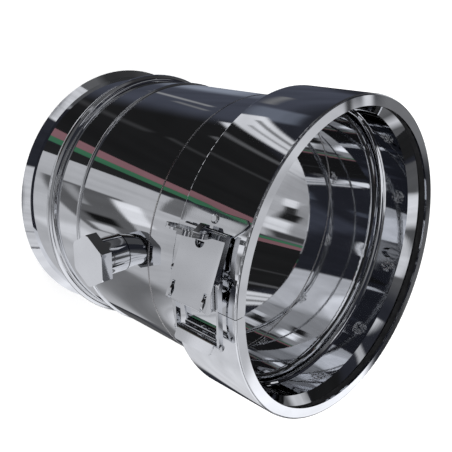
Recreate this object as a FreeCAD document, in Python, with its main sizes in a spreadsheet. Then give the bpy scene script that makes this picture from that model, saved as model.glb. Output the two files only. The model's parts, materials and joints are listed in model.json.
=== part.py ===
"""Flue pipe adapter: single-wall steel sleeves, a split locking band with a toggle latch, and a test port.

Millimetres. The pipe's axis is +Z, the spigot rim stands on z = 0 and the mouth is at the top.
The latch faces -Y. Latch pieces are drawn in the XY plane and run along Z about latch_z.
"""
import FreeCAD, Part
import math
import os
import Sketcher

V = FreeCAD.Vector

# A sketch distance or a placement can't follow a formula that gives exactly zero
NEAR_ZERO = 0.0001

# How far cutting tools run past the face they cut
OVERCUT = 2.0

# Driving sizes

SIZES = [
    ("total_length", 182.0),
    ("pipe_r", 76.0),
    ("wall", 0.8),
    ("rim_rise", 3.9),
    ("rim_length", 3.5),
    ("bead_z", 29.0),
    ("bead_height", 3.5),
    ("bead_half", 3.8),
    ("thin_bead_z", 55.0),
    ("thin_bead_height", 0.9),
    ("thin_bead_half", 1.6),
    ("seam_down", 66.0),
    ("seam_half", 0.4),
    ("seam_proud", 0.15),
    ("socket_step", 0.6),
    ("socket_step_down", 25.4),
    ("socket_lip_down", 11.0),
    ("socket_lip_end", 5.0),
    ("socket_lip_length", 5.3),
    ("touch_gap", 0.3),
    ("running_gap", 0.05),
    ("fixed_gap", 0.02),
    ("stop_wall", 0.6),
    ("stop_low_down", 63.5),
    ("stop_bead_down", 34.8),
    ("stop_groove_down", 33.0),
    ("stop_groove_width", 1.3),
    ("stop_high_down", 26.0),
    ("stop_crown_r", 7.0),
    ("stop_bead_height", 1.0),
    ("band_rise", 7.5),
    ("band_wall", 1.0),
    ("band_length", 41.0),
    ("band_lip_rise", 1.7),
    ("band_edge_r", 0.9),
    ("split_angle", 17.2),
    ("split_gap", 0.3),
    ("split_corner_r", 1.5),
    ("support_low_down", 26.0),
    ("support_web_down", 20.0),
    ("support_high_down", 14.0),
    ("support_gap", 1.2),
    ("seal_rise", 2.6),
    ("seal_down", 4.85),
    ("latch_down", 20.0),
    ("latch_reach", 12.0),
    ("plate_wall", 0.9),
    ("foot_end_x", 17.2),
    ("foot_start_x", 10.4),
    ("foot_half", 18.4),
    ("foot_corner", 1.6),
    ("ear_out", 10.35),
    ("ear_wall", 1.2),
    ("ear_half_width", 3.2),
    ("ear_side_rise", 3.0),
    ("ear_top_r", 3.5),
    ("pivot_x", 20.5),
    ("pivot_rise", 2.6),
    ("pivot_pin_r", 1.25),
    ("lever_tilt", 5.4),
    ("lever_rise", 4.2),
    ("lever_wall", 1.1),
    ("lever_side_wall", 1.0),
    ("lever_half", 12.4),
    ("lever_free_x", 29.9),
    ("lever_pivot_x", 4.1),
    ("lever_lip_depth", 3.0),
    ("pivot_boss_r", 2.35),
    ("bail_back", 8.93),
    ("bail_rise", 2.1),
    ("bail_pin_r", 0.95),
    ("bail_boss_r", 2.1),
    ("window_r", 2.7),
    ("window_x", 24.0),
    ("window_aside", 1.2),
    ("lug_back", 28.2),
    ("lug_half_width", 3.2),
    ("lug_top", 9.4),
    ("lug_half", 1.7),
    ("lug_hole_back", 27.3),
    ("lug_hole_rise", 5.85),
    ("lug_hole_r", 1.5),
    ("ring_seat", 0.05),
    ("ring_mean_r", 8.5),
    ("ring_wire", 1.0),
    ("ring_pitch", 1.1),
    ("link_gap", 0.35),
    ("link_wall", 1.2),
    ("link_half", 1.3),
    ("pin_head_h", 0.6),
    ("hook_angle", 26.8),
    ("bar_rise", 3.75),
    ("bar_r", 1.2),
    ("seat_r", 1.6),
    ("catch_wall", 0.95),
    ("lip_angle", 40.0),
    ("lip_length", 4.9),
    ("lip_half", 11.4),
    ("lip_corner_r", 1.6),
    ("strip_half", 8.0),
    ("strip_reach", 5.6),
    ("fold_reach", 4.9),
    ("fold_half", 9.7),
    ("rivet_r", 1.2),
    ("rivet_head_r", 2.1),
    ("rivet_head_h", 0.8),
    ("rivet_back_h", 0.7),
    ("port_angle", 15.6),
    ("port_down", 90.0),
    ("boss_r", 9.7),
    ("boss_rise", 11.9),
    ("boss_neck_r", 9.0),
    ("boss_neck_in", 1.8),
    ("boss_bore_r", 8.4),
    ("plug_r", 8.33),
    ("plug_length", 9.5),
    ("washer_h", 1.0),
    ("washer_r", 10.8),
    ("hex_flats", 24.3),
    ("hex_h", 5.9),
    ("hex_edge", 0.6),
]


class Size:
    """A number that carries the sheet formula it comes from."""

    def __init__(self, value, text):
        self.value = float(value)
        self.text = text

    def __add__(self, other):
        other = as_size(other)
        return Size(self.value + other.value, "(%s + %s)" % (self.text, other.text))

    def __radd__(self, other):
        return as_size(other) + self

    def __sub__(self, other):
        other = as_size(other)
        return Size(self.value - other.value, "(%s - %s)" % (self.text, other.text))

    def __rsub__(self, other):
        return as_size(other) - self

    def __mul__(self, other):
        other = as_size(other)
        return Size(self.value * other.value, "(%s * %s)" % (self.text, other.text))

    def __rmul__(self, other):
        return as_size(other) * self

    def __truediv__(self, other):
        other = as_size(other)
        return Size(self.value / other.value, "(%s / %s)" % (self.text, other.text))

    def __neg__(self):
        return Size(-self.value, "(-1 * %s)" % self.text)


def as_size(number):
    return number if isinstance(number, Size) else Size(number, repr(float(number)))


def root(size):
    return Size(math.sqrt(size.value), "sqrt(%s)" % size.text)


doc = FreeCAD.newDocument("flue_pipe_adapter")
sheet = doc.addObject("Spreadsheet::Sheet", "Sizes")


class Namespace:
    """Holds every driving size by its name."""


p = Namespace()
for row, (alias, number) in enumerate(SIZES, start=1):
    sheet.set("A%d" % row, alias)
    sheet.set("B%d" % row, str(number))
    sheet.setAlias("B%d" % row, alias)
    setattr(p, alias, Size(number, "Sizes.%s" % alias))
doc.recompute()

# Radii that follow the pipe's wall, and heights that are counted down from the mouth

p.band_r = p.pipe_r + p.band_rise
p.band_lip_r = p.pipe_r + p.band_lip_rise
p.seal_r = p.pipe_r + p.seal_rise
p.support_r = p.band_r - p.band_wall - p.support_gap
p.pivot_y = p.band_r + p.pivot_rise
p.bar_radius = p.band_r + p.bar_rise
p.boss_top = p.pipe_r + p.boss_rise
p.boss_neck_end = p.pipe_r - p.boss_neck_in
p.seam_z = p.total_length - p.seam_down
p.socket_lip_z = p.total_length - p.socket_lip_down
p.socket_step_z = p.total_length - p.socket_step_down
p.stop_low_z = p.total_length - p.stop_low_down
p.stop_bead_z = p.total_length - p.stop_bead_down
p.stop_groove_low = p.total_length - p.stop_groove_down
p.stop_groove_high = p.stop_groove_low + p.stop_groove_width
p.stop_high_z = p.total_length - p.stop_high_down
p.support_low_z = p.total_length - p.support_low_down
p.support_web_z = p.total_length - p.support_web_down
p.support_high_z = p.total_length - p.support_high_down
p.seal_low_z = p.total_length - p.seal_down
p.latch_z = p.total_length - p.latch_down
p.port_z = p.total_length - p.port_down


# Sketch and feature helpers

def origin_plane(body, role):
    return [part for part in body.Origin.OriginFeatures if getattr(part, "Role", "") == role][0]


def arc_between(start, end, radius, side):
    """Minor arc from start to end; side is +1 with the centre left of the way, -1 right of it."""
    middle = (start + end) * 0.5
    along = end - start
    left = V(-along.y, along.x, 0).normalize()
    reach = math.sqrt(max(radius * radius - along.Length ** 2 / 4, 0.0))
    centre = middle + left * (side * reach)
    outward = (middle - centre)
    outward = outward.normalize() if outward.Length > 1e-6 else left * -side
    return Part.Arc(start, centre + outward * radius, end)


def draw_loop(sketch, corners):
    """Closed loop of (x, y) corners; (x, y, radius, side) reaches its corner by an arc."""
    count = len(corners)
    points = [V(as_size(c[0]).value, as_size(c[1]).value, 0) for c in corners]
    first = sketch.GeometryCount
    for index in range(count):
        previous = points[index - 1]
        here = points[index]
        corner = corners[index]
        if len(corner) == 4:
            sketch.addGeometry(arc_between(previous, here, as_size(corner[2]).value, corner[3]), False)
        else:
            sketch.addGeometry(Part.LineSegment(previous, here), False)
    ends = []
    for index in range(count):
        piece = first + index
        curve = sketch.Geometry[piece]
        second_is_end = (sketch.getPoint(piece, 2) - points[index]).Length < 1e-6
        ends.append((1, 2) if second_is_end else (2, 1))
        if len(corners[index]) == 4:
            radius = as_size(corners[index][2])
            number = sketch.addConstraint(Sketcher.Constraint("Radius", piece, curve.Radius))
            sketch.setExpression("Constraints[%d]" % number, radius.text)
    for index in range(count):
        piece = first + index
        after = first + (index + 1) % count
        after_start = ends[(index + 1) % count][0]
        sketch.addConstraint(Sketcher.Constraint("Coincident", piece, ends[index][1], after, after_start))
        for axis, value in (("DistanceX", corners[index][0]), ("DistanceY", corners[index][1])):
            size = as_size(value)
            number = sketch.addConstraint(
                Sketcher.Constraint(axis, -1, 1, piece, ends[index][1], size.value))
            sketch.setExpression("Constraints[%d]" % number, size.text)


def draw_circle(sketch, x, y, radius):
    x, y, radius = as_size(x), as_size(y), as_size(radius)
    piece = sketch.addGeometry(Part.Circle(V(x.value, y.value, 0), V(0, 0, 1), radius.value), False)
    number = sketch.addConstraint(Sketcher.Constraint("Radius", piece, radius.value))
    sketch.setExpression("Constraints[%d]" % number, radius.text)
    for axis, size in (("DistanceX", x), ("DistanceY", y)):
        number = sketch.addConstraint(Sketcher.Constraint(axis, -1, 1, piece, 3, size.value))
        sketch.setExpression("Constraints[%d]" % number, size.text)


def new_sketch(body, name, role, loops, circles=(), offset=None):
    sketch = body.newObject("Sketcher::SketchObject", name)
    sketch.AttachmentSupport = [(origin_plane(body, role), "")]
    sketch.MapMode = "FlatFace"
    if offset is not None:
        sketch.setExpression("AttachmentOffset.Base.z", as_size(offset).text)
    for loop in loops:
        draw_loop(sketch, loop)
    for circle in circles:
        draw_circle(sketch, *circle)
    doc.recompute()
    return sketch


def new_body(name):
    return doc.addObject("PartDesign::Body", name)


def revolved(name, corners):
    """Body of revolution about Z from (radius, z) corners."""
    body = new_body(name)
    sketch = new_sketch(body, name + "_profile", "XZ_Plane", [corners])
    turn = body.newObject("PartDesign::Revolution", name + "_turn")
    turn.Profile = sketch
    turn.ReferenceAxis = (sketch, ["V_Axis"])
    turn.Angle = 360
    doc.recompute()
    return body


def padded(body, name, loops, low_z, height, circles=()):
    """Pad of an XY outline from low_z upwards."""
    sketch = new_sketch(body, name + "_outline", "XY_Plane", loops, circles, low_z)
    pad = body.newObject("PartDesign::Pad", name)
    pad.Profile = sketch
    pad.setExpression("Length", as_size(height).text)
    doc.recompute()
    return pad


def pocketed(body, name, loops, role, offset, depth, flip, circles=()):
    sketch = new_sketch(body, name + "_outline", role, loops, circles, offset)
    pocket = body.newObject("PartDesign::Pocket", name)
    pocket.Profile = sketch
    pocket.setExpression("Length", as_size(depth).text)
    pocket.Reversed = flip
    doc.recompute()
    return pocket


def cylinder(name, radius, height, x, y, z):
    """Round bar along +Z."""
    bar = doc.addObject("Part::Cylinder", name)
    bar.setExpression("Radius", as_size(radius).text)
    bar.setExpression("Height", as_size(height).text)
    bar.setExpression("Placement.Base.x", as_size(x).text)
    bar.setExpression("Placement.Base.y", as_size(y).text)
    bar.setExpression("Placement.Base.z", as_size(z).text)
    return bar


def joined(name, pieces):
    whole = doc.addObject("Part::MultiFuse", name)
    whole.Shapes = pieces
    return whole


def cut(name, base, tool):
    rest = doc.addObject("Part::Cut", name)
    rest.Base = base
    rest.Tool = tool
    return rest


def turned_about_z(thing, angle):
    thing.setExpression("Placement.Rotation.Angle", angle.text)
    thing.Placement.Rotation.Axis = V(0, 0, 1)
    doc.recompute()
    return thing


def shape_node(name, shape):
    node = doc.addObject("Part::Feature", name)
    node.Shape = shape
    return node


nodes = {}

# Sleeves

inner_r = p.pipe_r - p.wall
rim_edge = p.wall * root(p.rim_rise * p.rim_rise + p.rim_length * p.rim_length) / p.rim_length
rim_inner_z = p.rim_length * (p.rim_rise + p.wall - rim_edge) / p.rim_rise


def bead_sizes(height, half):
    """Radii and depths of a rolled bead's outer and inner arcs."""
    outer = (half * half + height * height) / (2 * height)
    inner = outer - p.wall
    drop = outer - height - p.wall
    inner_half = root(inner * inner - drop * drop)
    return outer, inner, inner_half


bead_outer, bead_inner, bead_inner_half = bead_sizes(p.bead_height, p.bead_half)
thin_outer, thin_inner, thin_inner_half = bead_sizes(p.thin_bead_height, p.thin_bead_half)
spigot_top = p.seam_z - p.seam_half

spigot_body = revolved("spigot_tube", [
    (p.pipe_r + p.rim_rise, NEAR_ZERO),
    (p.pipe_r, p.rim_length),
    (p.pipe_r, p.bead_z - p.bead_half),
    (p.pipe_r, p.bead_z + p.bead_half, bead_outer, 1),
    (p.pipe_r, p.thin_bead_z - p.thin_bead_half),
    (p.pipe_r, p.thin_bead_z + p.thin_bead_half, thin_outer, 1),
    (p.pipe_r, spigot_top),
    (inner_r, spigot_top),
    (inner_r, p.thin_bead_z + thin_inner_half),
    (inner_r, p.thin_bead_z - thin_inner_half, thin_inner, -1),
    (inner_r, p.bead_z + bead_inner_half),
    (inner_r, p.bead_z - bead_inner_half, bead_inner, -1),
    (inner_r, rim_inner_z),
    (p.pipe_r + p.rim_rise - rim_edge, NEAR_ZERO),
])

# The socket's bore is a step wider than the pipe, so that the mating pipe enters freely

socket_lip_rise = p.socket_lip_end - p.socket_step
lip_length = root(socket_lip_rise * socket_lip_rise + p.socket_lip_length * p.socket_lip_length)
lip_in = p.wall * p.socket_lip_length / lip_length
lip_up = p.wall * socket_lip_rise / lip_length
lip_foot_z = p.socket_lip_z + lip_up - (p.wall - lip_in) * p.socket_lip_length / socket_lip_rise
nodes["socket_sleeve"] = revolved("socket_tube", [
    (p.pipe_r, p.seam_z + p.seam_half),
    (p.pipe_r, p.socket_step_z - p.socket_step),
    (p.pipe_r + p.socket_step, p.socket_step_z),
    (p.pipe_r + p.socket_step, p.socket_lip_z),
    (p.pipe_r + p.socket_lip_end, p.socket_lip_z + p.socket_lip_length),
    (p.pipe_r + p.socket_lip_end - lip_in, p.socket_lip_z + p.socket_lip_length + lip_up),
    (inner_r + p.socket_step, lip_foot_z),
    (inner_r + p.socket_step, p.socket_step_z),
    (inner_r, p.socket_step_z - p.socket_step),
    (inner_r, p.seam_z + p.seam_half),
])

nodes["seam_weld"] = revolved("weld_ring", [
    (inner_r - p.seam_proud, p.seam_z - p.seam_half),
    (p.pipe_r + p.seam_proud, p.seam_z - p.seam_half),
    (p.pipe_r + p.seam_proud, p.seam_z + p.seam_half),
    (inner_r - p.seam_proud, p.seam_z + p.seam_half),
])

stop_outer = inner_r - p.touch_gap
stop_inner = stop_outer - p.stop_wall
stop_bead_r = stop_inner - p.stop_bead_height
stop_bead_arc = (p.stop_groove_low - p.stop_bead_z) / 2
nodes["stop_sleeve"] = revolved("stop_tube", [
    (stop_outer, p.stop_low_z),
    (stop_outer, p.stop_high_z),
    (stop_outer - 0.25, p.stop_high_z),
    (stop_bead_r + 0.3, p.stop_groove_high, p.stop_crown_r, 1),
    (stop_inner, p.stop_groove_high),
    (stop_inner, p.stop_groove_low),
    (stop_bead_r, p.stop_groove_low),
    (stop_bead_r, p.stop_groove_low - 0.5),
    (stop_inner, p.stop_bead_z - 0.6, 2 * stop_bead_arc, -1),
    (stop_inner, p.stop_low_z),
])

nodes["stop_seal"] = revolved("stop_ring", [
    (stop_inner - p.touch_gap, p.stop_groove_low),
    (stop_inner - p.touch_gap, p.stop_groove_high),
    (stop_bead_r + 0.2, p.stop_groove_high),
    (stop_bead_r + 0.2, p.stop_groove_low, p.stop_groove_width * 0.8, 1),
])

# Locking band, its support and its seal

band_inner = p.band_r - p.band_wall
band_low = p.total_length - p.band_length
band_back_r = p.pipe_r + p.touch_gap + 0.1
band_body = revolved("band_ring", [
    (band_back_r, band_low),
    (p.band_r, band_low),
    (p.band_r, p.total_length),
    (p.band_lip_r, p.total_length),
    (p.band_lip_r, p.total_length - p.band_wall),
    (band_inner, p.total_length - p.band_wall),
    (band_inner, band_low + p.band_wall),
    (band_back_r, band_low + p.band_wall),
])


def rounded_edges(body, feature, name, radius, wanted):
    """Fillet on the edges of a body's last feature that wanted(edge) picks."""
    names = ["Edge%d" % (i + 1) for i, edge in enumerate(feature.Shape.Edges) if wanted(edge)]
    fillet = body.newObject("PartDesign::Fillet", name)
    fillet.Base = (feature, names)
    fillet.setExpression("Radius", radius.text)
    doc.recompute()
    return fillet


def outer_ring_edge(edge):
    box = edge.BoundBox
    return box.ZLength < 0.01 and abs(box.XMax - p.band_r.value) < 0.01


rounded_edges(band_body, band_body.Tip, "band_rounding", p.band_edge_r, outer_ring_edge)

split_outline = [
    (-p.split_gap / 2, -(p.band_r + OVERCUT)),
    (p.split_gap / 2, -(p.band_r + OVERCUT)),
    (p.split_gap / 2, -(p.pipe_r - OVERCUT)),
    (-p.split_gap / 2, -(p.pipe_r - OVERCUT)),
]
split_cut = pocketed(band_body, "band_split", [split_outline], "XY_Plane",
                     p.total_length + 1, p.band_length + 2, False)


def lip_corner_edge(edge):
    box = edge.BoundBox
    straight = box.XLength < 0.01 and box.YLength < 0.01
    reach = math.hypot(box.XMin, box.YMin)
    return straight and box.ZLength > 0.5 and reach < p.band_lip_r.value + 0.1


rounded_edges(band_body, split_cut, "split_corners", p.split_corner_r, lip_corner_edge)
turned_about_z(band_body, p.split_angle)

support_foot = p.pipe_r + p.socket_step + p.touch_gap
nodes["support_ring"] = revolved("support_profile", [
    (support_foot, p.support_web_z),
    (support_foot, p.support_high_z),
    (support_foot + p.wall, p.support_high_z),
    (support_foot + p.wall, p.support_web_z + p.wall),
    (p.support_r, p.support_web_z + p.wall),
    (p.support_r, p.support_low_z),
    (p.support_r - p.wall, p.support_low_z),
    (p.support_r - p.wall, p.support_web_z),
])

nodes["mouth_seal"] = revolved("seal_ring", [
    (p.seal_r, p.seal_low_z),
    (band_inner - p.touch_gap, p.seal_low_z),
    (band_inner - p.touch_gap, p.total_length - p.band_wall),
    (p.seal_r, p.total_length - p.band_wall),
])

# Latch base: curved plate cut to its outline, with two ears

plate_low = p.band_r + p.touch_gap
plate_high = plate_low + p.plate_wall
deep = p.band_r + p.latch_reach
base_body = new_body("base_plate")
padded(base_body, "base_ring", [], p.latch_z - p.foot_half - OVERCUT, 2 * p.foot_half + 2 * OVERCUT,
       [(0, 0, plate_high), (0, 0, plate_low)])

stem_end_x = p.pivot_x + p.ear_half_width
foot_side = p.foot_end_x - p.foot_corner
outline = [
    (-p.foot_end_x, p.latch_z - p.foot_half + p.foot_corner),
    (-foot_side, p.latch_z - p.foot_half),
    (-(p.foot_start_x + 1.5), p.latch_z - p.foot_half + 2.4),
    (-p.foot_start_x, p.latch_z - p.foot_half + 4.2),
    (-(p.foot_start_x - 4.0), p.latch_z - p.ear_out),
    (stem_end_x, p.latch_z - p.ear_out),
    (stem_end_x, p.latch_z + p.ear_out),
    (-(p.foot_start_x - 4.0), p.latch_z + p.ear_out),
    (-p.foot_start_x, p.latch_z + p.foot_half - 4.2),
    (-(p.foot_start_x + 1.5), p.latch_z + p.foot_half - 2.4),
    (-foot_side, p.latch_z + p.foot_half),
    (-p.foot_end_x, p.latch_z + p.foot_half - p.foot_corner),
]
outline_body = new_body("base_outline_block")
outline_sketch = new_sketch(outline_body, "base_outline", "XZ_Plane", [outline])
outline_pad = outline_body.newObject("PartDesign::Pad", "base_outline_pad")
outline_pad.Profile = outline_sketch
outline_pad.setExpression("Length", deep.text)
doc.recompute()
plate = doc.addObject("Part::Common", "base_plate_cut")
plate.Base = base_body
plate.Tool = outline_body


def ear(name, low_z):
    """Flat ear of the base with a rounded top and the pivot hole."""
    body = new_body(name)
    top = p.pivot_y + p.ear_side_rise
    padded(body, name + "_pad", [[
        (p.pivot_x - p.ear_half_width - 3.0, -(p.band_r - 2.4)),
        (p.pivot_x + p.ear_half_width, -(p.band_r - 3.8)),
        (p.pivot_x + p.ear_half_width, -top),
        (p.pivot_x - p.ear_half_width, -top, p.ear_top_r, -1),
        (p.pivot_x - p.ear_half_width, -(p.pivot_y - 0.6)),
    ]], low_z, p.ear_wall, [(p.pivot_x, -p.pivot_y, p.pivot_pin_r + p.running_gap)])
    return body


ear_back = ear("ear_back", p.latch_z - p.ear_out)
ear_front = ear("ear_front", p.latch_z + p.ear_out - p.ear_wall)
ears_above = cut("ears_above_band", joined("ears", [ear_back, ear_front]),
                 cylinder("ear_trim", plate_low, 2 * p.foot_half + 2 * OVERCUT, NEAR_ZERO, NEAR_ZERO,
                          p.latch_z - p.foot_half - OVERCUT))
base_whole = joined("base_whole", [plate, ears_above])

# Rivets are drawn along -Y and turned to their place on the band

BASE_RIVETS = [(-13.6, 0.6), (-0.9, -2.6), (8.0, 5.5), (8.0, -5.5)]
CATCH_RIVETS = [(3.2, 5.2), (3.2, -5.2)]


def on_band(x):
    """Angle about Z, in degrees, of a point x aside of the latch's centre line."""
    return math.degrees(math.asin(x / p.band_r.value))


def radial(shape, angle, z):
    """Turn a shape drawn along -Y to its angle, and lift it to z."""
    turned = shape.copy()
    turned.translate(V(0, 0, z))
    turned.rotate(V(0, 0, 0), V(0, 0, 1), angle)
    return turned


def rod(radius, start, end):
    return Part.makeCylinder(radius, end - start, V(0, -start, 0), V(0, -1, 0))


def back_head():
    """Inner head of a rivet, clear of the band's curved inner wall."""
    radius = p.rivet_head_r.value - 0.3
    top = math.sqrt(band_inner.value ** 2 - radius ** 2) - p.fixed_gap.value
    return rod(radius, band_inner.value - p.rivet_back_h.value, top)


def flush_rivet():
    """Rivet whose outer end lies level with the catch's strip, so that the bar can pass over it."""
    bottom = band_inner.value - p.rivet_back_h.value
    return rod(p.rivet_r.value, bottom, (plate_low + p.catch_wall).value - 0.05).fuse(back_head()).removeSplitter()


def domed_rivet():
    bottom = band_inner.value - p.rivet_back_h.value
    top = plate_high.value
    slope = p.rivet_head_h.value * 0.6
    head = rod(p.rivet_head_r.value, top, top + p.rivet_head_h.value - slope)
    crown = Part.makeCone(p.rivet_head_r.value, p.rivet_head_r.value - 1.6 * slope, slope,
                          V(0, -(top + p.rivet_head_h.value - slope), 0), V(0, -1, 0))
    return rod(p.rivet_r.value, bottom, top + 0.1).fuse([head, crown, back_head()]).removeSplitter()


def placed(shape, places):
    return Part.makeCompound([radial(shape, angle, p.latch_z.value + dz) for angle, dz in places])


base_places = [(on_band(x), dz) for x, dz in BASE_RIVETS]
catch_places = [(p.hook_angle.value + on_band(t), dz) for t, dz in CATCH_RIVETS]
hole = rod(p.rivet_r.value + p.running_gap.value, p.pipe_r.value + OVERCUT, p.band_r.value + 2 * OVERCUT)
base_holes = shape_node("base_rivet_holes", placed(hole, base_places))
catch_holes = shape_node("catch_rivet_holes", placed(hole, catch_places))
nodes["base_rivets"] = shape_node("base_rivet_group", placed(domed_rivet(), base_places))
nodes["catch_rivets"] = shape_node("catch_rivet_group", placed(flush_rivet(), catch_places))
nodes["latch_base"] = cut("base_drilled", base_whole, base_holes)
nodes["locking_band"] = cut("band_drilled", cut("band_drilled_once", band_body, base_holes), catch_holes)

# Catch: a riveted strip whose end is folded back and rolled up round the bar's seat, with a lead-in lip.
# It is drawn at -Y with x along the band, and turned to hook_angle.

seat_outer = p.seat_r + p.catch_wall
fold_top = p.bar_radius - (plate_low + 2 * p.catch_wall)
foot_depth = fold_top + 0.2
seat_depth = fold_top - 0.2
seat_foot = root(seat_outer * seat_outer - foot_depth * foot_depth)
seat_foot_in = root(p.seat_r * p.seat_r - seat_depth * seat_depth)
lip_cos = Size(math.cos(math.radians(p.lip_angle.value)), "cos(Sizes.lip_angle)")
lip_sin = Size(math.sin(math.radians(p.lip_angle.value)), "sin(Sizes.lip_angle)")
lip_out_x = p.lip_length * lip_cos - seat_outer * lip_sin
lip_out_y = p.lip_length * lip_sin + seat_outer * lip_cos
lip_in_x = p.lip_length * lip_cos - p.seat_r * lip_sin
lip_in_y = p.lip_length * lip_sin + p.seat_r * lip_cos
catch_body = new_body("catch_hook")
padded(catch_body, "hook_pad", [[
    (-seat_foot, -(p.bar_radius - foot_depth), seat_outer, -1),
    (-seat_foot_in, -(p.bar_radius - seat_depth)),
    (-p.seat_r, -p.bar_radius, p.seat_r, 1),
    (-(p.seat_r * lip_sin), -(p.bar_radius + p.seat_r * lip_cos), p.seat_r, 1),
    (lip_in_x, -(p.bar_radius + lip_in_y)),
    (lip_out_x, -(p.bar_radius + lip_out_y)),
    (-(seat_outer * lip_sin), -(p.bar_radius + seat_outer * lip_cos)),
    (-seat_outer, -p.bar_radius, seat_outer, -1),
]], p.latch_z - p.lip_half, 2 * p.lip_half)
doc.recompute()


def lip_corner(edge):
    box = edge.BoundBox
    at_end = box.ZLength < 1e-6 and abs(edge.Length - p.catch_wall.value) < 1e-3
    return at_end and box.YMax < -(p.bar_radius.value + 2.5)


rounded_edges(catch_body, catch_body.Tip, "lip_corners", p.lip_corner_r, lip_corner)

strip_body = new_body("catch_strip")
padded(strip_body, "strip_ring", [], p.latch_z - p.strip_half, 2 * p.strip_half,
       [(0, 0, plate_low + p.catch_wall), (0, 0, plate_low)])
fold_body = new_body("catch_fold")
padded(fold_body, "fold_ring", [], p.latch_z - p.fold_half, 2 * p.fold_half,
       [(0, 0, plate_low + 2 * p.catch_wall), (0, 0, plate_low)])


def block(name, start, end, low_z, height):
    """Deep block in front of the axis, from x = start to x = end."""
    box = doc.addObject("Part::Box", name)
    box.setExpression("Length", as_size(end - start).text)
    box.setExpression("Width", deep.text)
    box.setExpression("Height", as_size(height).text)
    box.setExpression("Placement.Base.x", as_size(start).text)
    box.setExpression("Placement.Base.y", (-deep).text)
    box.setExpression("Placement.Base.z", as_size(low_z).text)
    doc.recompute()
    return box


def rounded_block(name, start, end, half, corner_r, round_x):
    """The same, centred on the latch, with the two corners at round_x rounded."""
    box = block(name, start, end, p.latch_z - half, 2 * half)
    wanted = as_size(round_x).value
    edges = [(i + 1, corner_r, corner_r) for i, edge in enumerate(box.Shape.Edges)
             if edge.BoundBox.XLength < 1e-6 and edge.BoundBox.ZLength < 1e-6
             and abs(edge.BoundBox.XMin - wanted) < 1e-3]
    rounded = doc.addObject("Part::Fillet", name + "_rounded")
    rounded.Base = box
    rounded.Edges = edges
    return rounded


def common(name, base, tool):
    both = doc.addObject("Part::Common", name)
    both.Base = base
    both.Tool = tool
    return both


fold_end = -0.6 * p.seat_r
fold_side = rounded_block("fold_side", -p.fold_reach, fold_end, p.fold_half, 1.2, -p.fold_reach)
strip_side = rounded_block("strip_side", fold_end - 1, p.strip_reach, p.strip_half, 2.0, p.strip_reach)
strip = common("strip_cut", strip_body, strip_side)
fold = common("fold_cut", fold_body, fold_side)
catch_whole = joined("catch_whole", [catch_body, strip, fold])
doc.recompute()
turned_about_z(catch_whole, p.hook_angle)
nodes["catch"] = cut("catch_drilled", catch_whole, catch_holes)

# Lever: drawn level about the pivot at the origin, then set to its closed tilt

lever_low_z = p.latch_z - p.lever_half
side_inner = p.lever_half - p.lever_side_wall
lever_under = p.lever_rise - p.lever_wall
lip_y = p.lever_rise - p.lever_lip_depth
lever_body = new_body("lever_sheet")
padded(lever_body, "lever_block", [[
    (-(p.lever_free_x - 1.2), -lip_y),
    (-(p.bail_back + 5.2), -lip_y),
    (-(p.bail_back + p.bail_boss_r * 0.8), -(p.bail_rise - p.bail_boss_r * 0.6)),
    (-(p.bail_back - p.bail_boss_r * 0.8), -(p.bail_rise - p.bail_boss_r * 0.6), p.bail_boss_r, -1),
    (-(p.pivot_boss_r * 0.8), p.pivot_boss_r * 0.6),
    (p.pivot_boss_r, NEAR_ZERO, p.pivot_boss_r, -1),
    (p.lever_pivot_x, -1.8),
    (p.lever_pivot_x, -(p.lever_rise - 0.8)),
    (p.lever_pivot_x - 0.8, -p.lever_rise, 0.8, -1),
    (-(p.lever_free_x - 0.8), -p.lever_rise),
    (-p.lever_free_x, -(p.lever_rise - 0.8), 0.8, -1),
    (-p.lever_free_x, -(lip_y + 1.2)),
]], lever_low_z, 2 * p.lever_half)
pocketed(lever_body, "lever_channel", [[
    (-(p.lever_free_x + 2), 6.0),
    (p.lever_pivot_x + 3, 6.0),
    (p.lever_pivot_x + 3, -lever_under),
    (-(p.lever_free_x + 2), -lever_under),
]], "XY_Plane", p.latch_z + side_inner, 2 * side_inner, False)

slot_half = p.ear_wall / 2 + p.touch_gap
slot_mid = p.ear_out - p.ear_wall / 2
slot_start = p.ear_half_width + 1.0


def ear_slot(centre_z):
    return [
        (-slot_start, centre_z - slot_half),
        (p.lever_pivot_x + 3, centre_z - slot_half),
        (p.lever_pivot_x + 3, centre_z + slot_half),
        (-slot_start, centre_z + slot_half),
    ]


window_z = p.latch_z - p.window_aside
window = [
    (-p.window_x, window_z - p.window_r),
    (-p.window_x + 0.4, window_z - p.window_r),
    (-p.window_x + 0.4 + p.window_r, window_z, p.window_r, 1),
    (-p.window_x + 0.4, window_z + p.window_r, p.window_r, 1),
    (-p.window_x, window_z + p.window_r),
]
pocketed(lever_body, "lever_slots", [ear_slot(p.latch_z - slot_mid), ear_slot(p.latch_z + slot_mid), window],
         "XZ_Plane", lever_under - 0.5, 4.0, True)
pin_holes = [(NEAR_ZERO, NEAR_ZERO, p.pivot_pin_r + p.fixed_gap),
             (-p.bail_back, -p.bail_rise, p.bail_pin_r + p.running_gap)]
pocketed(lever_body, "lever_pin_holes", [], "XY_Plane", p.latch_z + p.lever_half + 1,
         2 * p.lever_half + 2, False, pin_holes)

# A lug for the pull ring stands up from the free end

padded(lever_body, "ring_lug", [[
    (-(p.lug_back + p.lug_half_width), -(p.lever_rise - 0.4)),
    (-(p.lug_back - p.lug_half_width + 0.4), -(p.lever_rise - 0.4)),
    (-(p.lug_back - p.lug_half_width + 0.4), -(p.lever_rise + 1.4)),
    (-(p.lug_back - p.lug_half_width + 1.0), -(p.lug_top - 1.2)),
    (-(p.lug_back - 0.8), -p.lug_top, 1.6, -1),
    (-(p.lug_back + p.lug_half_width), -(p.lug_top - 3.2)),
]], p.latch_z - p.lug_half, 2 * p.lug_half, [(-p.lug_hole_back, -p.lug_hole_rise, p.lug_hole_r)])


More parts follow.
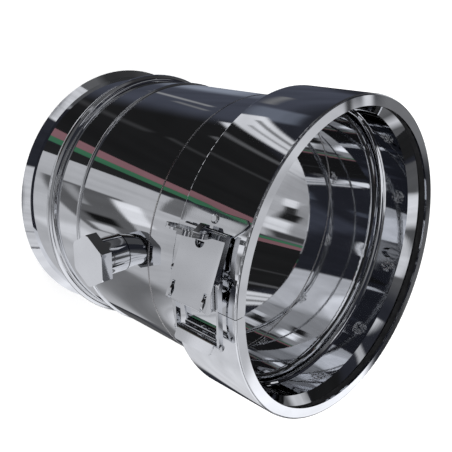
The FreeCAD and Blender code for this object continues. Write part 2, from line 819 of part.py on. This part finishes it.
def set_on_lever(thing):
    thing.setExpression("Placement.Base.x", p.pivot_x.text)
    thing.setExpression("Placement.Base.y", (-p.pivot_y).text)
    thing.setExpression("Placement.Rotation.Angle", (-p.lever_tilt).text)
    thing.Placement.Rotation.Axis = V(0, 0, 1)


set_on_lever(lever_body)
nodes["lever"] = lever_body

nodes["lever_pin"] = cylinder("pivot_pin", p.pivot_pin_r, 2 * p.lever_half, p.pivot_x, -p.pivot_y, lever_low_z)

# Bail: two links, the pin through the lever and the bar in the hook

tilt_sin = Size(math.sin(math.radians(p.lever_tilt.value)), "sin(Sizes.lever_tilt)")
tilt_cos = Size(math.cos(math.radians(p.lever_tilt.value)), "cos(Sizes.lever_tilt)")
hook_sin = Size(math.sin(math.radians(p.hook_angle.value)), "sin(Sizes.hook_angle)")
hook_cos = Size(math.cos(math.radians(p.hook_angle.value)), "cos(Sizes.hook_angle)")
bail_x = p.pivot_x - p.bail_back * tilt_cos - p.bail_rise * tilt_sin
bail_y = -p.pivot_y + p.bail_back * tilt_sin - p.bail_rise * tilt_cos
bar_x = p.bar_radius * hook_sin
bar_y = -(p.bar_radius * hook_cos)
reach_x = bar_x - bail_x
reach_y = bar_y - bail_y
reach = root(reach_x * reach_x + reach_y * reach_y)
along_x = p.link_half * reach_x / reach
along_y = p.link_half * reach_y / reach
link_low = p.lever_half + p.link_gap
tenon_r = p.link_half * 0.62


def link(name, low_z):
    body = new_body(name)
    padded(body, name + "_pad", [[
        (bail_x + along_y, bail_y - along_x),
        (bail_x - along_x, bail_y - along_y, p.link_half, -1),
        (bail_x - along_y, bail_y + along_x, p.link_half, -1),
        (bar_x - along_y, bar_y + along_x),
        (bar_x + along_x, bar_y + along_y, p.link_half, -1),
        (bar_x + along_y, bar_y - along_x, p.link_half, -1),
    ]], low_z, p.link_wall, [(bail_x, bail_y, p.bail_pin_r + p.fixed_gap),
                             (bar_x, bar_y, tenon_r + p.fixed_gap)])
    return body


nodes["bail_link_back"] = link("link_back", p.latch_z - link_low - p.link_wall)
nodes["bail_link_front"] = link("link_front", p.latch_z + link_low)
pin_end = link_low + p.link_wall
head_r = p.link_half + 0.2
head_h = p.pin_head_h


def headed(name, shaft_r, x, y):
    """Pin through both links with a head riveted over at each end."""
    return joined(name, [
        cylinder(name + "_shaft", shaft_r, 2 * pin_end + head_h, x, y, p.latch_z - pin_end - head_h / 2),
        cylinder(name + "_head", head_r, head_h, x, y, p.latch_z + pin_end),
        cylinder(name + "_foot", head_r, head_h, x, y, p.latch_z - pin_end - head_h),
    ])


nodes["bail_pin"] = headed("bail_pin_whole", p.bail_pin_r, bail_x, bail_y)
nodes["bail_bar"] = joined("bail_bar_whole", [
    headed("bar_tenon", tenon_r, bar_x, bar_y),
    cylinder("bar_middle", p.bar_r, 2 * link_low, bar_x, bar_y, p.latch_z - link_low),
])

# Split ring: two turns of flat wire standing square to the lever, through its lug

TURNS = 1.9
RING_START = -90.0 + 180.0 * (2 - TURNS)
ring_height = p.ring_pitch.value * TURNS
half_wire = p.ring_wire.value / 2
mean_r = p.ring_mean_r.value
coil = Part.makeHelix(p.ring_pitch.value, ring_height, mean_r)
corners = [V(mean_r + dx, 0, dz) for dx, dz in
           ((-half_wire, -half_wire), (half_wire, -half_wire), (half_wire, half_wire), (-half_wire, half_wire))]
square = Part.makePolygon(corners + corners[:1])
ring = Part.Wire(coil).makePipeShell([square], True, True)
ring.translate(V(0, 0, -ring_height / 2))
ring.rotate(V(0, 0, 0), V(0, 1, 0), 90)
ring.rotate(V(0, 0, 0), V(1, 0, 0), RING_START)
ring_rise = p.lug_hole_rise.value + p.ring_seat.value + mean_r
ring.translate(V(-p.lug_hole_back.value, -ring_rise, p.latch_z.value))
ring.rotate(V(0, 0, 0), V(0, 0, 1), -p.lever_tilt.value)
ring.translate(V(p.pivot_x.value, -p.pivot_y.value, 0))
nodes["split_ring"] = shape_node("ring_coil", ring)

# Test port

port_bottom = rod(p.boss_neck_r.value, p.boss_neck_end.value, p.boss_top.value)
port_outside = rod(p.boss_r.value, p.pipe_r.value - 6, p.boss_top.value)
sleeve_block = Part.makeCylinder(p.pipe_r.value + p.touch_gap.value, 4 * p.boss_r.value,
                                 V(0, 0, -2 * p.boss_r.value))
port_bore = rod(p.boss_bore_r.value, p.pipe_r.value - 8, p.boss_top.value + 2)
boss = port_outside.cut(sleeve_block).fuse(port_bottom).cut(port_bore).removeSplitter()
sleeve_hole = rod(p.boss_neck_r.value + p.running_gap.value, p.pipe_r.value - 8, p.pipe_r.value + 8)
hex_start = p.boss_top.value + p.washer_h.value
hex_r = p.hex_flats.value / math.sqrt(3)
hex_corners = [V(hex_r * math.sin(math.radians(60 * k + 90)), -hex_start,
                 hex_r * math.cos(math.radians(60 * k + 90))) for k in range(7)]
hex_block = Part.Face(Part.makePolygon(hex_corners)).extrude(V(0, -p.hex_h.value, 0))
cone = Part.makeCone(hex_r - p.hex_edge.value, 2 * hex_r, hex_r + p.hex_edge.value,
                     V(0, -(hex_start + p.hex_h.value), 0), V(0, 1, 0))
hex_head = hex_block.common(cone)
plug = hex_head.fuse(rod(p.plug_r.value, hex_start - p.plug_length.value, hex_start + 0.5)).removeSplitter()
washer = rod(p.washer_r.value, p.boss_top.value, hex_start).cut(
    rod(p.plug_r.value + p.running_gap.value, p.boss_top.value - 1, hex_start + 1))

port_cut = shape_node("port_hole", radial(sleeve_hole, p.port_angle.value, p.port_z.value))
nodes["spigot_sleeve"] = cut("spigot_drilled", spigot_body, port_cut)
nodes["port_boss"] = shape_node("boss_shape", radial(boss, p.port_angle.value, p.port_z.value))
nodes["port_plug"] = shape_node("plug_shape", radial(plug, p.port_angle.value, p.port_z.value))
nodes["plug_washer"] = shape_node("washer_shape", radial(washer, p.port_angle.value, p.port_z.value))

# Check and write

doc.recompute()
for thing in doc.Objects:
    if "Invalid" in thing.State or "Error" in thing.State:
        raise RuntimeError("%s failed: %s" % (thing.Name, thing.State))

os.makedirs("parts", exist_ok=True)
for name, thing in sorted(nodes.items()):
    shape = thing.Shape
    if shape.isNull() or not shape.isValid() or not shape.Solids:
        raise RuntimeError("%s has no valid solid" % name)
    shape.exportStep("parts/%s.step" % name)
    print("%-18s solids %d volume %.1f box %s" % (name, len(shape.Solids), shape.Volume, shape.BoundBox))
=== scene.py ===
# Looks of the flue pipe adapter: polished steel sleeves, a toggle latch, rubber seals and a plugged port.

import json
import math

import bpy
from mathutils import Matrix, Vector

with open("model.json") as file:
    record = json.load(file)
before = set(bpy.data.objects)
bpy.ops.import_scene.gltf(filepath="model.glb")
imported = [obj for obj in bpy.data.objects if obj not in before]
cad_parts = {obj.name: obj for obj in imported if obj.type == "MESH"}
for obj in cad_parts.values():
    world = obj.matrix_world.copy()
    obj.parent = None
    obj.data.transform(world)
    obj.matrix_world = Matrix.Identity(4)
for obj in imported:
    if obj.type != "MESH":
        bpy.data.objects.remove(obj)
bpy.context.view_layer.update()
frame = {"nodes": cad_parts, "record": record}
nodes = frame["nodes"]
scene = bpy.context.scene
scene.view_settings.view_transform = "Standard"


# Materials

class Nodes:
    """Short hand for one material's node tree."""

    def __init__(self, name):
        self.material = bpy.data.materials.new(name)
        self.material.use_nodes = True
        self.tree = self.material.node_tree
        self.tree.nodes.clear()

    def add(self, kind, **values):
        node = self.tree.nodes.new(kind)
        for name, value in values.items():
            setattr(node, name, value)
        return node

    def link(self, start, end):
        self.tree.links.new(start, end)

    def math(self, operation, first, second=None):
        node = self.add("ShaderNodeMath", operation=operation)
        for socket, value in zip(node.inputs, (first, second)):
            if value is None:
                continue
            if isinstance(value, (int, float)):
                socket.default_value = value
            else:
                self.link(value, socket)
        return node.outputs[0]

    def noise(self, vector, scale, detail=3.0, roughness=0.5):
        node = self.add("ShaderNodeTexNoise")
        node.inputs["Scale"].default_value = scale
        node.inputs["Detail"].default_value = detail
        node.inputs["Roughness"].default_value = roughness
        self.link(vector, node.inputs["Vector"])
        return node.outputs["Fac"]

    def bump(self, height, strength, distance, under=None):
        """Normals of a bumped face, laid over the bump `under` if there is one."""
        node = self.add("ShaderNodeBump")
        node.inputs["Strength"].default_value = strength
        node.inputs["Distance"].default_value = distance
        self.link(height, node.inputs["Height"])
        if under:
            self.link(under, node.inputs["Normal"])
        return node.outputs["Normal"]

    def smooth_fall(self, value, low, high):
        """1 below `low`, 0 above `high`, and smooth between them."""
        node = self.add("ShaderNodeMapRange", interpolation_type="SMOOTHSTEP")
        self.link(value, node.inputs["Value"])
        for name, limit in (("From Min", low), ("From Max", high), ("To Min", 1), ("To Max", 0)):
            node.inputs[name].default_value = limit
        return node.outputs["Result"]

    def ramp(self, value, stops):
        node = self.add("ShaderNodeValToRGB")
        ramp = node.color_ramp
        while len(ramp.elements) < len(stops):
            ramp.elements.new(0.5)
        for element, (place, colour) in zip(ramp.elements, stops):
            element.position = place
            element.color = colour if len(colour) == 4 else (*colour, 1.0)
        self.link(value, node.inputs["Fac"])
        return node.outputs["Color"]


def grey(level):
    return (level, level, level)


def shown(tree, surface):
    output = tree.add("ShaderNodeOutputMaterial")
    tree.link(surface, output.inputs["Surface"])
    return tree.material


MARKS = 11
MARK_RADIUS = 0.0755
MARK_CORE, MARK_EDGE = 0.001, 0.0046


def weld_marks(m, place, height, turn):
    """Rough dots of spot welds, evenly spaced round the pipe at one height."""
    apart = m.add("ShaderNodeSeparateXYZ")
    m.link(place, apart.inputs["Vector"])
    turns = m.math("MULTIPLY_ADD", m.math("ARCTAN2", apart.outputs["Y"], apart.outputs["X"]), MARKS / (2 * math.pi))
    turns.node.inputs[2].default_value = 0.5 - MARKS * turn / 360
    along = m.math("MULTIPLY", m.math("SUBTRACT", m.math("FRACT", turns), 0.5), 2 * math.pi * MARK_RADIUS / MARKS)
    up = m.math("SUBTRACT", apart.outputs["Z"], height)
    squared = m.math("ADD", m.math("MULTIPLY", along, along), m.math("MULTIPLY", up, up))
    near = m.smooth_fall(squared, MARK_CORE ** 2, MARK_EDGE ** 2)
    speckle = m.ramp(m.noise(place, 750.0, 3.0, 0.7), [(0.50, grey(0.0)), (0.62, grey(1.0))])
    return m.math("MULTIPLY", near, speckle)


GRAIN_RELIEF = (0.15, 0.00001)


def steel(name, base, rough, grain, grain_scale, wave=0.0, marks=None):
    """Polished steel: fine grain round the pipe and faint smudges.

    `wave` is the relief of an uneven sheet, and `marks` the height and turn of a row of weld marks."""
    m = Nodes(name)
    shader = m.add("ShaderNodeBsdfPrincipled")
    shader.inputs["Metallic"].default_value = 1.0
    place = m.add("ShaderNodeTexCoord").outputs["Object"]
    stretched = m.add("ShaderNodeMapping")
    stretched.inputs["Scale"].default_value = (40, 40, grain_scale)
    m.link(place, stretched.inputs["Vector"])
    lines = m.noise(stretched.outputs["Vector"], 1.0, 4.0, 0.6)
    smudges = m.noise(place, 38.0, 4.0, 0.6)
    low = tuple(c * 0.94 for c in base)
    high = tuple(min(1.0, c * 1.04) for c in base)
    m.link(m.ramp(smudges, [(0.3, low), (0.7, high)]), shader.inputs["Base Color"])
    uneven = m.math("MULTIPLY_ADD", lines, grain)
    uneven.node.inputs[2].default_value = rough
    blotch = m.math("MULTIPLY_ADD", smudges, grain * 0.8)
    m.link(uneven, blotch.node.inputs[2])
    m.link(blotch, shader.inputs["Roughness"])
    relief = None
    if wave:
        relief = m.bump(m.noise(place, 14.0, 1.0), 1.0, wave)
    if marks:
        relief = m.bump(weld_marks(m, place, *marks), 1.0, 0.0003, relief)
    m.link(m.bump(lines, *GRAIN_RELIEF, relief), shader.inputs["Normal"])
    return shown(m, shader.outputs["BSDF"])


def rubber(name):
    """Black seal rubber with a little dust and a fine skin."""
    m = Nodes(name)
    shader = m.add("ShaderNodeBsdfPrincipled")
    place = m.add("ShaderNodeTexCoord").outputs["Object"]
    dust = m.noise(place, 160.0, 5.0, 0.65)
    m.link(m.ramp(dust, [(0.35, (0.010, 0.010, 0.011)), (0.75, (0.028, 0.028, 0.030))]),
           shader.inputs["Base Color"])
    m.link(m.ramp(dust, [(0.3, grey(0.48)), (0.7, grey(0.66))]), shader.inputs["Roughness"])
    m.link(m.bump(m.noise(place, 900.0, 2.0), 0.4, 0.00008), shader.inputs["Normal"])
    return shown(m, shader.outputs["BSDF"])


WELD_RIPPLES = 420.0


def weld(name):
    """Fine weld with the ripples of its passes round the pipe."""
    m = Nodes(name)
    shader = m.add("ShaderNodeBsdfPrincipled")
    shader.inputs["Metallic"].default_value = 1.0
    place = m.add("ShaderNodeTexCoord").outputs["Object"]
    apart = m.add("ShaderNodeSeparateXYZ")
    m.link(place, apart.inputs["Vector"])
    angle = m.math("ARCTAN2", apart.outputs["Y"], apart.outputs["X"])
    ripples = m.math("SINE", m.math("MULTIPLY", angle, WELD_RIPPLES))
    heat = m.noise(place, 60.0, 3.0)
    m.link(m.ramp(heat, [(0.35, (0.42, 0.41, 0.42)), (0.65, (0.62, 0.61, 0.60))]), shader.inputs["Base Color"])
    m.link(m.ramp(heat, [(0.3, grey(0.22)), (0.7, grey(0.34))]), shader.inputs["Roughness"])
    m.link(m.bump(ripples, 0.3, 0.00002), shader.inputs["Normal"])
    return shown(m, shader.outputs["BSDF"])


# Base colour, roughness, grain in the roughness, grain lines to the metre, and wave
SHEET = ((0.70, 0.71, 0.73), 0.010, 0.020, 1400, 0.00003)
FINISHES = {
    "polished_steel": steel("polished_steel_sheet", *SHEET),
    "latch_steel": steel("bright_latch_steel", (0.70, 0.71, 0.73), 0.025, 0.035, 900),
    "port_steel": steel("turned_port_steel", (0.69, 0.70, 0.72), 0.025, 0.035, 1600),
    "weld_steel": weld("seam_weld_steel"),
    "black_rubber": rubber("black_seal_rubber"),
}
SPECIAL = {
    "split_ring": steel("split_ring_steel", (0.72, 0.73, 0.75), 0.09, 0.03, 900),
    "socket_sleeve": steel("polished_steel_socket", *SHEET, marks=(0.165, 84.6)),
    "stop_sleeve": steel("polished_steel_stop", *SHEET, marks=(0.119, 87.4)),
}
slots = {row["node"]: row["material_slot"] for row in frame["record"]["subparts"]}
for name, node in nodes.items():
    node.data.materials.clear()
    node.data.materials.append(SPECIAL.get(name) or FINISHES[slots[name]])


# Room: pale floor, pale world and soft lamps. Polished steel shows only what stands round it, so painted cards
# stand round the part. They show in the steel and not in the picture.

def seen_strength(tree, seen, diffuse):
    """A strength that is `seen` for camera, glossy and transmission rays, and `diffuse` for the rest."""
    path = tree.add("ShaderNodeLightPath")
    first = tree.math("MAXIMUM", path.outputs["Is Camera Ray"], path.outputs["Is Glossy Ray"])
    either = tree.math("MAXIMUM", first, path.outputs["Is Transmission Ray"])
    level = tree.math("MULTIPLY_ADD", either, seen - diffuse)
    level.node.inputs[2].default_value = diffuse
    return level


class WorldNodes(Nodes):
    def __init__(self, name):
        self.world = bpy.data.worlds.new(name)
        self.world.use_nodes = True
        self.tree = self.world.node_tree
        self.tree.nodes.clear()


world = WorldNodes("pale_room")
background = world.add("ShaderNodeBackground")
background.inputs["Color"].default_value = (1, 1, 1, 1)
world.link(seen_strength(world, 1.0, 0.8), background.inputs["Strength"])
out = world.add("ShaderNodeOutputWorld")
world.link(background.outputs["Background"], out.inputs["Surface"])
scene.world = world.world


def mesh_object(name, vertices, faces, material):
    mesh = bpy.data.meshes.new(name)
    mesh.from_pydata(vertices, [], faces)
    mesh.update()
    thing = bpy.data.objects.new(name, mesh)
    scene.collection.objects.link(thing)
    mesh.materials.append(material)
    return thing


floor_look = Nodes("pale_floor")
floor_shader = floor_look.add("ShaderNodeBsdfPrincipled")
floor_shader.inputs["Base Color"].default_value = (0.9, 0.9, 0.9, 1)
floor_shader.inputs["Roughness"].default_value = 0.9
floor_shader.inputs["Specular IOR Level"].default_value = 0.0
floor_shader.inputs["Emission Color"].default_value = (1, 1, 1, 1)
floor_look.link(seen_strength(floor_look, 0.38, 0.0), floor_shader.inputs["Emission Strength"])
shown(floor_look, floor_shader.outputs["BSDF"])
FLOOR_HALF = 6.0
floor = mesh_object("floor", [(-FLOOR_HALF, -FLOOR_HALF, 0), (FLOOR_HALF, -FLOOR_HALF, 0),
                              (FLOOR_HALF, FLOOR_HALF, 0), (-FLOOR_HALF, FLOOR_HALF, 0)],
                    [(0, 1, 2, 3)], floor_look.material)
floor.visible_glossy = False


def as_card(thing):
    """A card shows in the steel only: it isn't in the picture and lights nothing."""
    thing.visible_camera = False
    thing.visible_diffuse = False
    thing.visible_shadow = False
    thing.visible_transmission = False
    thing.visible_volume_scatter = False
    return thing


def glowing(m, colour):
    glow = m.add("ShaderNodeEmission")
    m.link(colour, glow.inputs["Color"])
    return shown(m, glow.outputs["Emission"])


# The cards make a plain box round the part, far enough away that a straight wall shows them as straight streaks.
# Each field is an oblong with soft edges: place and half size in metres, turn in degrees, edge, and tone.

CENTRE = Vector((0, 0, 0.09))
BOX_HALF, BOX_HIGH = 6.6, 3.0
ROSE, GREEN = (0.29, 0.15, 0.17), (0.06, 0.20, 0.11)
NIGHT, DUSK, HAZE = (0.030, 0.032, 0.042), (0.075, 0.082, 0.110), (0.27, 0.30, 0.37)
LOW_FIELDS = [
    (-2.30, -2.05, 1.30, 3.05, 0, 0.12, 0.017),
    (-2.00, 2.15, 1.95, 1.90, 0, 0.40, DUSK),
    (-1.20, 2.85, 0.85, 0.45, 35, 0.32, HAZE),
    (-0.40, 0.15, 1.05, 0.85, 0, 0.30, 1.10),
    (-2.50, 1.22, 0.38, 0.05, 15, 0.05, 0.36),
    (-2.75, 0.85, 0.22, 0.04, 25, 0.05, 0.25),
    (-3.38, 1.75, 0.08, 0.45, -12, 0.08, 0.24),
    (-3.80, 0.60, 0.34, 0.45, 0, 0.12, (0.17, 0.19, 0.24)),
    (-1.43, 5.15, 1.05, 0.06, 17, 0.05, 1.20),
    (-4.95, 1.65, 0.20, 0.30, 0, 0.15, (0.09, 0.10, 0.13)),
    (-4.05, -1.75, 0.27, 2.10, -16, 0.05, 0.95),
    (-4.25, -2.90, 0.30, 0.50, -16, 0.08, 1.40),
    (-4.12, -1.60, 0.04, 1.70, -16, 0.03, 0.30),
    (-3.86, -1.40, 0.03, 1.10, -16, 0.03, 0.45),
    (-3.32, -1.65, 0.05, 0.90, -14, 0.05, 0.15),
    (-2.68, -2.25, 0.03, 1.10, -9, 0.05, 0.06),
    (-2.05, -0.30, 0.05, 0.80, -24, 0.06, 0.05),
    (1.60, -4.65, 2.30, 0.95, 0, 0.15, 0.42),
    (1.30, -1.10, 2.00, 2.70, 0, 0.03, 0.62),
    (1.90, -1.47, 0.42, 0.30, 0, 0.10, 0.88),
    (2.95, 0.55, 0.40, 1.85, -8, 0.26, 0.23),
    (1.95, 2.45, 0.55, 0.65, 0, 0.15, 0.12),
    (4.20, 1.00, 0.90, 3.50, 0, 0.12, 0.86),
    (5.95, 1.00, 1.00, 3.50, 0, 0.15, 1.32),
    (3.60, -3.40, 1.60, 1.00, 20, 0.45, 0.45),
    (0.15, -3.95, 0.38, 0.20, 0, 0.08, 1.00),
    (0.92, -4.02, 0.26, 0.16, 5, 0.06, 0.02),
    (1.38, -3.86, 0.28, 0.10, 20, 0.05, 0.04),
    (1.78, -3.66, 0.26, 0.11, 25, 0.05, 1.00),
    (0.75, -4.62, 0.55, 0.17, 5, 0.08, 1.60),
    (1.95, -4.42, 0.42, 0.15, 25, 0.08, 0.02),
    (-0.45, -4.24, 0.20, 0.34, 4, 0.08, 0.06),
    (0.76, -2.22, 0.68, 0.32, 0, 0.03, 0.15),
    (0.48, -2.62, 0.34, 0.13, -8, 0.04, 1.10),
    (0.40, -2.12, 0.26, 0.05, -8, 0.04, 0.40),
    (1.02, -2.22, 0.12, 0.14, 0, 0.05, 0.01),
    (1.30, -2.12, 0.10, 0.12, 0, 0.04, 0.75),
    (-0.39, -3.02, 0.36, 0.13, 0, 0.03, 0.20),
    (-0.86, -2.25, 0.17, 0.75, -7.6, 0.015, 0.025),
    (-1.11, -3.10, 0.105, 2.40, 4.7, 0.012, ROSE),
    (-0.93, -3.10, 0.072, 2.40, 4.9, 0.012, GREEN),
]
HIGH_FIELDS = [
    (0.40, -0.60, 1.30, 2.10, 0, 0.50, 0.12),
    (0.60, -2.05, 0.90, 0.11, 0, 0.06, 0.85),
    (0.60, -1.00, 0.70, 0.05, 0, 0.04, 1.10),
    (-2.30, -1.15, 0.45, 0.12, -35, 0.06, 0.80),
    (-3.10, 0.10, 0.10, 0.60, 10, 0.06, 0.60),
    (-1.20, 0.60, 0.08, 1.10, -10, 0.05, 0.55),
    (3.90, -1.60, 2.30, 1.25, 0, 0.20, 0.95),
    (2.85, 1.90, 1.35, 2.50, 0, 0.12, 0.92),
    (3.70, -0.43, 1.00, 0.30, 48, 0.14, 0.12),
    (5.50, -3.20, 0.90, 0.80, 0, 0.20, 0.85),
    (2.60, 0.40, 0.20, 0.90, -20, 0.06, 0.08),
    (3.30, 2.20, 0.12, 1.30, -15, 0.05, 0.10),
    (0.70, 4.00, 1.30, 0.90, 0, 0.15, 0.78),
    (-0.42, 4.55, 0.34, 0.05, 30, 0.04, 0.06),
    (-0.52, 4.85, 0.34, 0.08, 30, 0.05, 0.95),
    (0.10, 4.00, 0.10, 0.50, 25, 0.06, 0.62),
    (2.30, 5.00, 0.72, 1.10, 0, 0.12, 1.45),
    (-1.00, 5.70, 0.72, 0.75, 0, 0.20, 0.26),
    (0.70, 6.70, 1.60, 0.35, 0, 0.20, 0.06),
    (5.60, 2.50, 1.00, 3.60, 0, 0.15, 0.02),
    (-4.90, 3.20, 1.00, 3.20, 0, 0.20, 0.015),
    (2.20, -3.85, 2.35, 0.42, 4, 0.08, 0.80),
    (1.10, -3.40, 1.00, 0.10, 0, 0.06, 0.05),
    (-4.90, -1.95, 2.10, 0.50, -28, 0.10, 0.90),
    (-4.60, -1.70, 1.60, 0.08, -28, 0.05, 0.20),
    (-2.20, 1.90, 0.20, 1.60, 35, 0.08, 0.40),
    (3.60, -1.60, 1.00, 0.10, 30, 0.06, 0.25),
]


def field_mask(m, place, centre, half, turn, edge):
    """1 inside a turned oblong, 0 outside it, with soft edges."""
    local = m.add("ShaderNodeMapping", vector_type="TEXTURE")
    local.inputs["Location"].default_value = (*centre, 0)
    local.inputs["Rotation"].default_value = (0, 0, math.radians(turn))
    m.link(place, local.inputs["Vector"])
    apart = m.add("ShaderNodeSeparateXYZ")
    m.link(local.outputs["Vector"], apart.inputs["Vector"])
    sides = [m.smooth_fall(m.math("ABSOLUTE", apart.outputs[axis]), reach - edge, reach + edge)
             for axis, reach in zip("XY", half)]
    return m.math("MULTIPLY", *sides)


def cool(tone):
    """A grey with a little blue in it, or the colour as it is."""
    return tone if isinstance(tone, tuple) else (tone * 0.97, tone * 0.98, tone * 1.02)


# A colour mix node's sockets for its two colours, and the one that it gives
MIX_A, MIX_B, MIX_OUT = 6, 7, 2


def streaked(m, place, colour, scale):
    """Faint unevenness of the card's paint."""
    stretched = m.add("ShaderNodeMapping")
    stretched.inputs["Scale"].default_value = scale
    m.link(place, stretched.inputs["Vector"])
    gain = m.ramp(m.noise(stretched.outputs["Vector"], 1.0, 3.0, 0.55), [(0.35, grey(0.80)), (0.65, grey(1.0))])
    mixed = m.add("ShaderNodeMix", data_type="RGBA", blend_type="MULTIPLY")
    mixed.inputs["Factor"].default_value = 1.0
    m.link(colour, mixed.inputs[MIX_A])
    m.link(gain, mixed.inputs[MIX_B])
    return mixed.outputs[MIX_OUT]


def small_lamps(m, place, tone):
    """A plain tone with a few small bright lamps spread over it."""
    cells = m.add("ShaderNodeTexVoronoi")
    cells.inputs["Scale"].default_value = 0.6
    m.link(place, cells.inputs["Vector"])
    return m.ramp(cells.outputs["Distance"], [(0.05, grey(1.5)), (0.09, cool(tone))])


def field_paint(name, base, fields, lamps=False):
    """Paint of a flat card: a plain tone with the fields laid over it in order."""
    m = Nodes(name)
    place = m.add("ShaderNodeTexCoord").outputs["Object"]
    colour = small_lamps(m, place, base) if lamps else None
    for x, y, half_x, half_y, turn, edge, tone in fields:
        layer = m.add("ShaderNodeMix", data_type="RGBA")
        m.link(field_mask(m, place, (x, y), (half_x, half_y), turn, edge), layer.inputs["Factor"])
        if colour is None:
            layer.inputs[MIX_A].default_value = (*cool(base), 1)
        else:
            m.link(colour, layer.inputs[MIX_A])
        layer.inputs[MIX_B].default_value = (*cool(tone), 1)
        colour = layer.outputs[MIX_OUT]
    return glowing(m, streaked(m, place, colour, (2.5, 0.4, 1)))


def side_paint():
    """The box's four sides: tones by compass direction, as a share of a full turn."""
    m = Nodes("card_side_paint")
    place = m.add("ShaderNodeTexCoord").outputs["Object"]
    apart = m.add("ShaderNodeSeparateXYZ")
    m.link(place, apart.inputs["Vector"])
    angle = m.math("ARCTAN2", apart.outputs["Y"], apart.outputs["X"])
    share = m.math("MULTIPLY_ADD", angle, 1 / (2 * math.pi))
    share.node.inputs[2].default_value = 0.5
    tones = [(0.00, 0.16), (0.08, 0.12), (0.088, 0.50), (0.096, 0.12), (0.16, 0.12), (0.22, 0.30), (0.31, 0.30),
             (0.35, 0.85), (0.42, 1.15), (0.56, 1.15), (0.572, 0.15), (0.590, 0.15), (0.605, 0.90), (0.625, 0.15),
             (0.66, 0.20), (0.78, 0.14), (0.81, 0.14), (0.822, 0.80), (0.845, 0.80), (0.86, 0.12), (0.93, 0.05),
             (0.98, 0.05), (1.00, 0.16)]
    stops = [(share_at, cool(tone)) for share_at, tone in tones]
    return glowing(m, streaked(m, place, m.ramp(share, stops), (0.4, 0.4, 0.8)))


def square(height):
    return [(x * BOX_HALF, y * BOX_HALF, height) for x, y in ((-1, -1), (1, -1), (1, 1), (-1, 1))]


middle = CENTRE.z
as_card(mesh_object("card_low", square(middle - BOX_HIGH), [(0, 1, 2, 3)],
                    field_paint("card_low_paint", NIGHT, LOW_FIELDS)))
as_card(mesh_object("card_high", square(middle + BOX_HIGH), [(0, 1, 2, 3)],
                    field_paint("card_high_paint", NIGHT, HIGH_FIELDS, lamps=True)))
as_card(mesh_object("card_sides", square(middle - BOX_HIGH) + square(middle + BOX_HIGH),
                    [(k, (k + 1) % 4, 4 + (k + 1) % 4, 4 + k) for k in range(4)], side_paint()))


# Lamps

def area_lamp(name, place, size, power):
    light = bpy.data.lights.new(name, "AREA")
    light.shape = "RECTANGLE"
    light.size, light.size_y = size
    light.energy = power
    lamp = bpy.data.objects.new(name, light)
    scene.collection.objects.link(lamp)
    lamp.location = place
    lamp.rotation_euler = (CENTRE - Vector(place)).to_track_quat("-Z", "Y").to_euler()
    lamp.visible_glossy = False
    return lamp


area_lamp("softbox_key", (-0.75, -0.42, 1.25), (0.5, 0.5), 6.0)
area_lamp("softbox_fill", (0.7, -0.3, 1.2), (0.3, 0.5), 2.0)

# Camera, rolled as in the photograph, where the pipe lies on its side

camera_data = bpy.data.cameras.new("camera")
camera_data.lens = 49.475
camera_data.sensor_width = 36
camera_data.clip_start = 0.01
camera = bpy.data.objects.new("camera", camera_data)
scene.collection.objects.link(camera)
RIGHT = Vector((-0.204116, 0.667855, 0.715756))
UP = Vector((-0.969498, -0.036566, -0.242356))
BACK = Vector((-0.135686, -0.743393, 0.654948))
turned = Matrix((RIGHT, UP, BACK)).transposed().to_4x4()
camera.matrix_world = Matrix.Translation((-0.04719, -0.27431, 0.33745)) @ turned
scene.camera = camera
